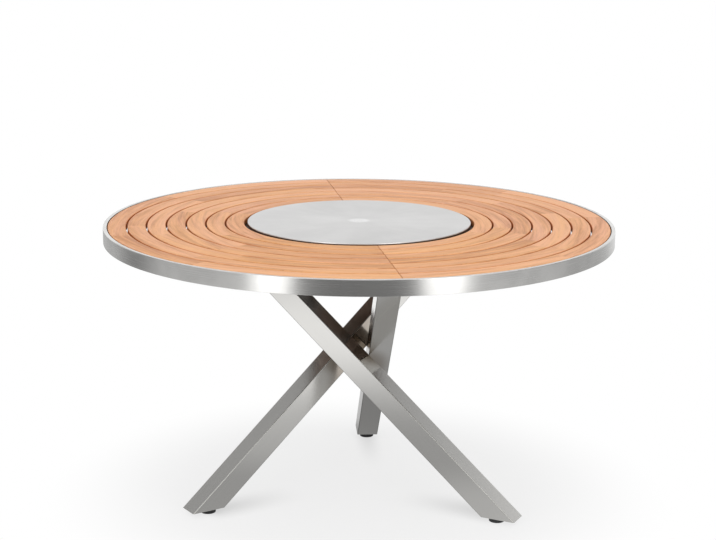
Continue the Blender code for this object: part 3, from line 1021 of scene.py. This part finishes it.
@dataclass
class Turntable(Assembly):
    """The steel disc that turns, with the board, bearing and plate under it."""

    radius: float = 0.2985
    top: float = 0.7529
    sheet: float = 0.0015
    skirt: float = 0.0085
    edge: float = 0.0011
    lean: float = 0.0013
    flat_border: float = 0.02
    segments: int = 256
    # The disc's middle has a painted glint, its fans are painted reflection, and its wall below the edge
    # has painted shade.
    disc_finish: Finish = Steel(
        "disc_brushed_steel", colour=(0.71, 0.705, 0.70), roughness=0.34, brushing=Brushing.RINGS,
        anisotropy=0.2, turn=0.25, lines_per_metre=1100.0, tone_spread=0.10, patch_scale=11.0,
        patch_spread=0.06, painted_fan_spread=0.05, centre_glint=0.034, painted_shade_below=0.7509)
    board_finish: Finish = Moulded(
        "board_black", colour=(0.02, 0.02, 0.021), roughness=0.55, grain=500.0)
    plate_finish: Finish = Steel(
        "base_plate_steel", colour=(0.10, 0.095, 0.09), roughness=0.46)
    ring_finish: Finish = Steel(
        "bearing_aluminium", colour=(0.66, 0.67, 0.68), roughness=0.36, brushing=Brushing.RINGS)
    cage_finish: Finish = Moulded(
        "cage_nylon", colour=(0.62, 0.60, 0.54), roughness=0.42)

    def build(self) -> None:
        """Make the disc and dress what carries it."""
        obj = Bench.cylinder(
            "turntable_disc_steel", self.segments, self.radius, self.top - self.skirt, self.top)
        draft = 1.0 - self.lean / self.radius
        with Bench.editing(obj):
            Bench.pick(obj, 'FACE', lambda _, normal: normal.z < -FACING)
            bpy.ops.mesh.inset(thickness=self.sheet)
            Bench.push((0, 0, self.skirt - self.sheet))
            Bench.pick(obj, 'VERT', lambda place: place.z > self.top - TOUCH)
            bpy.ops.transform.resize(value=(draft, draft, 1.0), center_override=(0.0, 0.0, self.top))
            Bench.ease(obj, self.top, self.edge, 8)
            Bench.pick(obj, 'FACE', lambda middle, normal: (
                normal.z > FACING and middle.z > self.top - TOUCH))
            bpy.ops.mesh.inset(thickness=self.flat_border)
        Bench.tidy(obj)
        self.hand_over(obj, Body.TURNTABLE, Slot.DISC, self.disc_finish, ["turntable_disc"])
        self.dress("turntable_board", self.board_finish)
        self.dress("turntable_base_plate", self.plate_finish)
        self.dress("bearing_outer_ring", self.ring_finish)
        self.dress("bearing_inner_ring", self.ring_finish)
        self.dress("bearing_ball_cage", self.cage_finish)


@dataclass
class UnderFrame(Assembly):
    """The arms, hub plate and battens under the slats, with the screws that hold the slats."""

    plan: RingPlan = RingPlan()
    seam: float = 0.0
    arms: int = 6
    batten_turns: tuple[float, float, float] = (30.0, 90.0, 150.0)
    batten_lead: float = math.radians(7.0)
    batten_bottom: float = 0.7117
    # Painted shade: the battens under the top get near-black teak colours.
    batten_shade_deep: Colour = (0.040, 0.027, 0.020)
    batten_shade_pale: Colour = (0.085, 0.057, 0.041)
    screw_sides: int = 16
    screw_radius: float = 0.0038
    screw_head: float = 0.0016
    screw_round: float = 0.0008
    recess: float = 0.0040
    recess_slot: float = 0.0010
    recess_depth: float = 0.0010
    # Near-black steel for the arms and hub plate under the top.
    frame_finish: Finish = Steel(
        "frame_dark_steel", colour=(0.085, 0.078, 0.072), roughness=0.46, bump=0.00002)
    screw_finish: Finish = Steel("screw_steel", roughness=0.30)

    def build(self) -> None:
        """Dress the hidden solids and add the screws."""
        for number in range(1, self.arms + 1):
            self.dress(f"frame_arm_{number}", self.frame_finish)
        self.dress("frame_hub_plate", self.frame_finish)
        turns = [SEAM_LEAD + math.radians(turn) for turn in self.batten_turns]
        turns.append(math.pi - self.batten_lead)
        for half, side in enumerate(("left", "right")):
            for number, turn in enumerate(turns, start=1):
                node = f"batten_{side}_{number}"
                angle = self.seam + half * math.pi + turn
                self.dress(node, PlainTeak(
                    f"teak_{node}", deep=self.batten_shade_deep, pale=self.batten_shade_pale, angle=angle))
                self._screws(f"{node}_screws", angle)

    def _screws(self, name: str, angle: float) -> None:
        """Make a row of screws, one into each ring of slats.

        Args:
            name: the row's name.
            angle: the batten's direction.
        """
        first = self._screw()
        row = []
        for ring in range(self.plan.rings):
            radius = self.plan.start(ring) + self.plan.width / 2
            place = Matrix.Rotation(angle, 4, 'Z') @ Matrix.Translation((radius, 0, self.batten_bottom))
            row.append(Bench.copy(first, f"{name}_{ring}", place))
        bpy.data.objects.remove(first)
        self.hand_over(Bench.join(name, row), Body.TABLE, Slot.FASTENERS, self.screw_finish)

    def _screw(self) -> bpy.types.Object:
        """Make one screw with a rounded head and a cross recess, head down, its seat at the origin.

        Returns:
            The screw.
        """
        obj = Bench.cylinder("screw", self.screw_sides, self.screw_radius, -self.screw_head, 0.0)
        with Bench.editing(obj):
            Bench.ease(obj, -self.screw_head, self.screw_round, 2)
        for blade in ((self.recess, self.recess_slot), (self.recess_slot, self.recess)):
            Bench.sink(obj, Bench.add(
                "blade", bpy.ops.mesh.primitive_cube_add, size=1.0, location=(0, 0, -self.screw_head),
                scale=(*blade, 2 * self.recess_depth)))
        Bench.tidy(obj)
        return obj


@dataclass
class Legs(Assembly):
    """Three leaning square tubes, with the plates and bolts at their tops."""

    wall: float = 0.0025
    bottom: float = 0.0140
    top: float = 0.7041
    open_depth: float = 0.030
    brush_shift: float = 0.7
    bolt_spacing: float = 0.140
    bolt_sides: int = 36
    bolt_radius: float = 0.004
    bolt_head_radius: float = 0.007
    bolt_head: float = 0.0044
    bolt_round: float = 0.0028
    bolt_tip: float = 0.7197
    socket_sides: int = 6
    socket_radius: float = 0.0029
    socket_depth: float = 0.0025
    # The legs' inner faces near the crossing get a weld tint with painted shade.
    leg_finish: Finish = Steel(
        "leg_brushed_steel", colour=(0.79, 0.78, 0.755), roughness=0.14, brushing=Brushing.ALONG,
        lines_per_metre=1500.0, rough_spread=0.08, bump=0.00003, weld_and_shade_reach=0.10)
    plate_finish: Finish = Steel(
        "top_plate_steel", colour=(0.52, 0.52, 0.51), roughness=0.36)
    bolt_finish: Finish = Steel("bolt_steel", roughness=0.26)

    def build(self) -> None:
        """Make the legs and the bolts, and dress the plates."""
        for line in LegLine.every():
            self._leg(line)
            self.dress(f"leg_top_plate_{line.number}", self.plate_finish)
        self._bolts()

    def _leg(self, line: LegLine) -> None:
        """Make one leg: a bar along its line, cut level, rounded and hollow at the ends.

        Args:
            line: the leg's line.
        """
        along = line.along()
        outward = line.outward()
        up = along.cross(outward)
        length = (self.top - self.bottom) / math.sin(line.slope) + 4 * line.side
        obj = Bench.add(
            f"leg_{line.number}_steel", bpy.ops.mesh.primitive_cube_add, size=1.0,
            location=line.at((self.bottom + self.top) / 2), scale=(length, line.side, line.side),
            rotation=Matrix((along, outward, up)).transposed().to_euler())
        with Bench.editing(obj):
            bpy.ops.mesh.bisect(
                plane_co=(0, 0, self.bottom), plane_no=(0, 0, 1), use_fill=True, clear_inner=True)
            bpy.ops.mesh.select_all(action='SELECT')
            bpy.ops.mesh.bisect(
                plane_co=(0, 0, self.top), plane_no=(0, 0, 1), use_fill=True, clear_outer=True)
            Bench.pick(obj, 'EDGE', lambda a, b: abs((a - b).normalized().dot(along)) > FACING)
            bpy.ops.mesh.bevel(offset=line.corner, segments=4, affect='EDGES')
            for sign in (-1, 1):
                Bench.pick(obj, 'FACE', lambda _, normal: normal.z * sign > FACING)
                bpy.ops.mesh.inset(thickness=self.wall)
                Bench.push(along * (-sign * self.open_depth))
        Bench.tidy(obj)
        self._mark_faces(obj, line, along, up)
        self.hand_over(obj, Body.TABLE, Slot.LEGS, self.leg_finish, [f"leg_{line.number}"])

    def _mark_faces(self, obj: bpy.types.Object, line: LegLine, along: Vector, up: Vector) -> None:
        """Lay the brushed lines along a leg, and mark its inner faces and its rounded corners.

        Args:
            obj: the leg.
            line: the leg's line.
            along: its direction.
            up: the direction out of its upper face.
        """
        outward = line.outward()
        shift = line.index * self.brush_shift
        flats = (outward, up, Vector((0, 0, 1)))
        Bench.lay_map(obj, "brush", lambda place, normal: (
            place.dot(along), place.dot(up if abs(normal.dot(outward)) > 0.7 else outward) + shift))
        Bench.lay_map(obj, "faces", lambda _, normal: (
            0.0 if normal.dot(outward) > 0.5 else 1.0,
            1.0 if max(abs(normal.dot(way)) for way in flats) < FACING else 0.0))

    def _bolts(self) -> None:
        """Make the button-headed bolts under the top plates, with a hexagon socket each."""
        first = Bench.cylinder("bolt", self.bolt_sides, self.bolt_head_radius, -self.bolt_head, 0.0)
        with Bench.editing(first):
            Bench.ease(first, -self.bolt_head, self.bolt_round, 5)
            Bench.pick(first, 'FACE', lambda middle, normal: normal.z > FACING and middle.z > -TOUCH)
            bpy.ops.mesh.inset(thickness=self.bolt_head_radius - self.bolt_radius)
            Bench.push((0, 0, self.bolt_tip - self.top))
        Bench.sink(first, Bench.cylinder(
            "key", self.socket_sides, self.socket_radius, -self.bolt_head - self.socket_depth,
            self.socket_depth - self.bolt_head))
        Bench.tidy(first)
        for line in LegLine.every():
            for number, sign in enumerate((-1, 1), start=1):
                node = f"leg_bolt_{2 * line.index + number}"
                along = line.run(self.top) + sign * self.bolt_spacing / 2
                bolt = Bench.copy(first, f"{node}_steel", line.beside(along, self.top))
                self.hand_over(bolt, Body.TABLE, Slot.FASTENERS, self.bolt_finish, [node])
        bpy.data.objects.remove(first)


@dataclass
class Feet(Assembly):
    """The screwed glides under the legs, and the plates inside the leg ends."""

    leg_bottom: float = 0.0140
    inset: float = 0.0134
    pad_sides: int = 64
    radius: float = 0.0203
    height: float = 0.0137
    shoulder: float = 0.0030
    lower_edge: float = 0.0016
    sole_border: float = 0.004
    groove_width: float = 0.0015
    groove_depth: float = 0.0012
    stud_play: float = 0.0004
    stud_sides: int = 24
    stud_radius: float = 0.005
    stud_low: float = 0.0060
    stud_high: float = 0.0450
    stud_point: float = 0.0012
    thread_start: float = 0.0005
    thread_pitch: float = 0.0015
    thread_depth: float = 0.0007
    thread_rings: int = 4
    pad_finish: Finish = Moulded("glide_black")
    stud_finish: Finish = Threaded("stud_thread")
    plate_finish: Finish = Steel(
        "foot_plate_steel", colour=(0.50, 0.50, 0.49), roughness=0.38)

    def build(self) -> None:
        """Make three glides with their studs."""
        pad = self._pad()
        stud = self._stud()
        for line, body in zip(LegLine.every(), (Body.GLIDE_1, Body.GLIDE_2, Body.GLIDE_3)):
            place = line.beside(line.run(self.leg_bottom) + self.inset, 0.0)
            node = f"glide_pad_{line.number}"
            foot = Bench.copy(pad, f"{node}_moulded", place)
            self.hand_over(foot, body, Slot.GLIDES, self.pad_finish, [node])
            node = f"glide_stud_{line.number}"
            screw = Bench.copy(stud, f"{node}_threaded", place)
            self.hand_over(screw, body, Slot.FASTENERS, self.stud_finish, [node])
            self.dress(f"foot_plate_{line.number}", self.plate_finish)
        bpy.data.objects.remove(pad)
        bpy.data.objects.remove(stud)

    def _pad(self) -> bpy.types.Object:
        """Make one pad: a round foot with a sloping shoulder, a grip groove and a sole.

        Returns:
            The pad.
        """
        obj = Bench.cylinder("pad", self.pad_sides, self.radius, 0.0, self.height)
        with Bench.editing(obj):
            Bench.ease(obj, self.height, self.shoulder, 4)
            Bench.ease(obj, 0.0, self.lower_edge, 3)
            Bench.pick(obj, 'FACE', lambda _, normal: normal.z < -FACING)
            bpy.ops.mesh.inset(thickness=self.sole_border)
            bpy.ops.mesh.inset(thickness=self.groove_width)
            Bench.push((0, 0, self.groove_depth))
            Bench.pick(obj, 'FACE', lambda _, normal: normal.z > FACING)
            bpy.ops.mesh.inset(thickness=self.radius - self.shoulder - self.stud_radius - self.stud_play)
            Bench.push((0, 0, self.stud_low - self.height - self.stud_play))
        Bench.tidy(obj)
        return obj

    def _stud(self) -> bpy.types.Object:
        """Make one stud with a pointed end, a thread and a map for it.

        Returns:
            The stud.
        """
        length = self.stud_high - self.stud_low
        obj = Bench.cylinder("stud", self.stud_sides, self.stud_radius, self.stud_low, self.stud_high)
        with Bench.editing(obj):
            Bench.ease(obj, self.stud_high, self.stud_point, 1)
            Bench.pick(obj, 'EDGE', lambda a, b: abs(a.z - b.z) > length / 2)
            bpy.ops.mesh.subdivide(number_cuts=round(self.thread_rings * length / self.thread_pitch))
        self._cut_thread(obj)
        Bench.tidy(obj, 50.0)
        Bench.lay_map(obj, "thread", lambda place, normal: (
            self._turn_near(place, normal), place.z / self.thread_pitch))
        return obj

    def _cut_thread(self, obj: bpy.types.Object) -> None:
        """Draw the wall of a stud in along a helix, so that a ridge climbs once per turn.

        Args:
            obj: the stud, with rings of vertices up its wall.
        """
        low = self.stud_low + self.thread_start
        high = self.stud_high - self.stud_point - TOUCH
        for vertex in obj.data.vertices:
            place = vertex.co
            if place.xy.length > 0.9 * self.stud_radius and low < place.z < high:
                saw = (place.z / self.thread_pitch - math.atan2(place.y, place.x) / math.tau) % 1.0
                radius = self.stud_radius - self.thread_depth * abs(2.0 * saw - 1.0)
                place.xy = place.xy.normalized() * radius

    @staticmethod
    def _turn_near(place: Vector, normal: Vector) -> float:
        """Give a corner's turn about the stud, unbroken across its own face.

        Args:
            place: the corner's place.
            normal: the face's normal.

        Returns:
            The turn, 1 for all the way round.
        """
        corner = math.atan2(place.y, place.x)
        if normal.xy.length < 0.1:
            return corner / math.tau
        face = math.atan2(normal.y, normal.x)
        return (face + (corner - face + math.pi) % math.tau - math.pi) / math.tau


@dataclass(frozen=True)
class Patch:
    """A round patch of the floor that the metal sees brighter or dimmer."""

    x: float
    y: float
    inner: float
    outer: float
    strength: float

    def cover(self, graph: Graph, x: Reading, y: Reading) -> Reading:
        """Give the patch's strength at a place on the floor, all of it inside and none outside."""
        return self.strength * (1.0 - graph.reach(x - self.x, y - self.y).rise(self.inner, self.outer))


@dataclass(frozen=True)
class SoftBox:
    """A tall soft light that faces a point and fades at its edges."""

    name: str
    place: tuple[float, float, float]
    target: tuple[float, float, float]
    size: tuple[float, float]
    power: float
    side_fade: float = 0.30
    end_fade: float = 0.12

    def hang(self) -> None:
        """Hang the light up."""
        Bench.clear()
        bpy.ops.object.light_add(type='AREA', location=self.place)
        lamp = bpy.context.object
        lamp.name = self.name
        lamp.data.shape = 'RECTANGLE'
        lamp.data.size, lamp.data.size_y = self.size
        lamp.data.energy = self.power
        lamp.data.use_nodes = True
        graph = Graph(lamp.data.node_tree)
        u, v, _ = graph.split(graph.read("ShaderNodeNewGeometry", None, None, "Parametric"))
        across = u.rise(0.0, self.side_fade) * (1.0 - u.rise(1.0 - self.side_fade, 1.0))
        upward = v.rise(0.0, self.end_fade) * (1.0 - v.rise(1.0 - self.end_fade, 1.0))
        glow = graph.read("ShaderNodeEmission", None, {"Strength": across * upward})
        graph.node("ShaderNodeOutputLight", None, {"Surface": glow})
        lamp.rotation_euler = (Vector(self.target) - Vector(self.place)).to_track_quat('-Z', 'Y').to_euler()


@dataclass
class Studio:
    """The white floor, the soft lights, the surroundings and the camera."""

    camera_place: tuple[float, float, float] = (0.0, -4.2698, 1.5996)
    camera_dip: float = math.radians(12.961)
    camera_roll: float = math.radians(0.4446)
    camera_yaw: float = math.radians(0.0275)
    focal_pixels: float = 1627.84
    image_width: int = 716
    sensor: float = 36.0
    floor_size: float = 16.0
    floor_drop: float = 0.0002
    paper: Colour = (0.88, 0.88, 0.88)
    lit_share: float = 0.80
    lit_level: float = 0.94
    shadow_reach: tuple[float, float] = (0.42, 0.88)
    shade_start: float = 0.02
    shade_foot: tuple[float, float] = (-0.02, 0.03)
    shade_depths: tuple[float, float, float] = (0.24, 0.24, 0.15)
    shade_length: float = 0.32
    shade_width: float = 0.045
    shade_reach: float = 0.10
    shade_slips: tuple[float, float, float] = (0.05, 0.0, 0.0)
    glows: tuple[Patch, ...] = (Patch(0.27, -0.36, 0.05, 0.40, 0.13), Patch(-0.05, 0.72, 0.1, 0.4, 0.17))
    dips: tuple[Patch, ...] = (
        Patch(0.04, 0.38, 0.08, 0.27, 0.36), Patch(-3.5, 0.9, 0.3, 1.35, 0.95),
        Patch(3.4, 1.2, 0.5, 2.0, 0.30))
    lights: tuple[SoftBox, ...] = (
        SoftBox("left_light", (-1.09, -1.83, 1.15), (-0.22, -0.64, 1.15), (0.75, 2.20), 9.9),
        SoftBox("right_light", (1.08, -1.84, 1.15), (0.22, -0.63, 1.15), (0.84, 2.20), 10.9))

    def build(self) -> None:
        """Set up everything round the table."""
        bpy.context.scene.view_settings.view_transform = 'Standard'
        self._floor()
        self._surroundings()
        for light in self.lights:
            light.hang()
        self._camera()

    def _floor(self) -> None:
        """Lay a pale floor that runs out to white; its shade at the feet and what metal sees are drawn."""
        obj = Bench.add(
            "studio_floor", bpy.ops.mesh.primitive_plane_add, size=self.floor_size,
            location=(0, 0, -self.floor_drop))
        made = bpy.data.materials.new("studio_paper")
        made.use_nodes = True
        graph = Graph(made.node_tree)
        x, y, _ = graph.split(graph.place())
        seen = graph.ray("Is Camera Ray")
        mirrored = graph.ray("Is Glossy Ray")
        outside = graph.reach(x, y).rise(*self.shadow_reach)
        # Painted shadow: what the camera sees of the floor is a little darker under the table.
        level = seen * (self.lit_level + (1.0 - self.lit_level) * outside)
        for line in LegLine.every():
            level = level * (1.0 - self._leg_shade(x, y, line))
        level = level + mirrored * self._mirrored_level(graph, x, y)
        paper = graph.read("ShaderNodeBsdfDiffuse", None, {"Color": self.paper})
        white = graph.read("ShaderNodeEmission", None, {"Color": level, "Strength": 1.0})
        wash = seen * (self.lit_share + (1.0 - self.lit_share) * outside) + mirrored
        mixed = graph.read("ShaderNodeMixShader", None, {0: wash, 1: paper, 2: white})
        graph.node("ShaderNodeOutputMaterial", None, {"Surface": mixed})
        obj.data.materials.append(made)

    def _leg_shade(self, x: Reading, y: Reading, line: LegLine) -> Reading:
        """Give the soft shade on the floor under a leg, which thins out as the leg rises.

        Args:
            x: the place on the floor to the right.
            y: the place on the floor away from the camera.
            line: the leg's line.

        Returns:
            The shade, 0 for none.
        """
        foot = line.at(self.shade_start) + Vector((0.0, self.shade_slips[line.index], 0.0))
        way = line.along().xy.normalized()
        along = (x - foot.x) * way.x + (y - foot.y) * way.y
        across = (x - foot.x) * way.y - (y - foot.y) * way.x
        width = math.hypot(way.y * self.shade_width, way.x * self.shade_reach)
        length = along.rise(*self.shade_foot) * (1.0 - along.rise(0.0, self.shade_length))
        return self.shade_depths[line.index] * length * (1.0 - across.size().rise(0.0, width))

    def _mirrored_level(self, graph: Graph, x: Reading, y: Reading) -> Reading:
        """Draw how bright the metal sees the floor: dim under and before the table, paler around.

        Args:
            graph: the floor's nodes.
            x: the place on the floor to the right.
            y: the place on the floor away from the camera.

        Returns:
            The level, 1 for white.
        """
        level = 0.37 + 0.63 * graph.reach(x + 0.20, (y - 0.05) * 0.8).rise(0.5, 1.4)
        for glow in self.glows:
            level = level + glow.cover(graph, x, y)
        for dip in self.dips:
            level = level * (1.0 - dip.cover(graph, x, y))
        back = y.rise(2.6, 3.5) * (0.10 + 0.90 * x.rise(-1.0, 1.0))
        far = 1.0 - 0.32 * graph.reach(x, y).rise(2.0, 3.0) * (1.0 - back)
        left = 0.92 + 0.08 * x.rise(-3.0, -2.2)
        back_left = 1.0 - 0.22 * (1.0 - x.rise(-2.6, -0.6)) * y.rise(1.5, 2.5)
        front = 1.0 - 0.80 * (0.0 - y - 0.9 * x.size()).rise(1.0, 1.7)
        return level * far * left * back_left * front

    @staticmethod
    def _surroundings() -> None:
        """Make the room: white to the eye, and with drawn bright and dim bands for all other rays."""
        world = bpy.data.worlds.new("studio_room")
        bpy.context.scene.world = world
        world.use_nodes = True
        graph = Graph(world.node_tree)
        x, y, z = graph.split(graph.read("ShaderNodeTexCoord", None, None, "Generated"))
        low = 1.0 - z.rise(0.26, 0.46)
        back = y.rise(0.0, 0.75)
        ahead = 1.0 - y.rise(-0.45, 0.05)
        high = z.rise(0.56, 0.70).larger(ahead * z.rise(0.05, 0.25))
        side = 1.0 - 0.25 * x.rise(0.70, 0.95)
        room = side * (0.34 + (1.0 - high) * low * (0.08 + back * 0.74))
        room = room + high * (0.92 - 0.42 * z.rise(0.84, 0.97))
        seen = graph.ray("Is Camera Ray")
        light = {"Color": (1.0, 1.0, 1.0), "Strength": room * (1.0 - seen) + seen}
        background = graph.read("ShaderNodeBackground", None, light)
        graph.node("ShaderNodeOutputWorld", None, {"Surface": background})

    def _camera(self) -> None:
        """Stand the camera where the photo was taken from."""
        Bench.clear()
        bpy.ops.object.camera_add(location=self.camera_place)
        camera = bpy.context.object
        camera.name = "photo_camera"
        camera.data.sensor_width = self.sensor
        camera.data.lens = self.focal_pixels / self.image_width * self.sensor
        level = math.cos(self.camera_dip)
        forward = Vector((
            -math.sin(self.camera_yaw) * level, math.cos(self.camera_yaw) * level,
            -math.sin(self.camera_dip)))
        right = forward.cross(Vector((0, 0, 1))).normalized()
        up = right.cross(forward)
        tilted_right = right * math.cos(self.camera_roll) + up * math.sin(self.camera_roll)
        tilted_up = up * math.cos(self.camera_roll) - right * math.sin(self.camera_roll)
        camera.rotation_euler = Matrix((tilted_right, tilted_up, -forward)).transposed().to_euler()
        bpy.context.scene.camera = camera


def main() -> None:
    """Build and dress the table, and set the studio up."""
    logging.basicConfig(level=logging.INFO, format="%(name)s: %(message)s")
    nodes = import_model()["nodes"]
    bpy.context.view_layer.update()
    Bench.clear()
    legs = Legs(nodes)
    last_leg = LegLine.every()[-1]
    first_arm = last_leg.angle() + math.atan2(last_leg.offset, last_leg.run(legs.top))
    seam = first_arm + math.pi - SEAM_LEAD
    RimBand(nodes).build()
    SlattedTop(nodes, seam=seam).build()
    Turntable(nodes).build()
    UnderFrame(nodes, seam=seam).build()
    legs.build()
    Feet(nodes).build()
    Studio().build()
    bpy.context.view_layer.update()


if __name__ == "__main__":
    main()
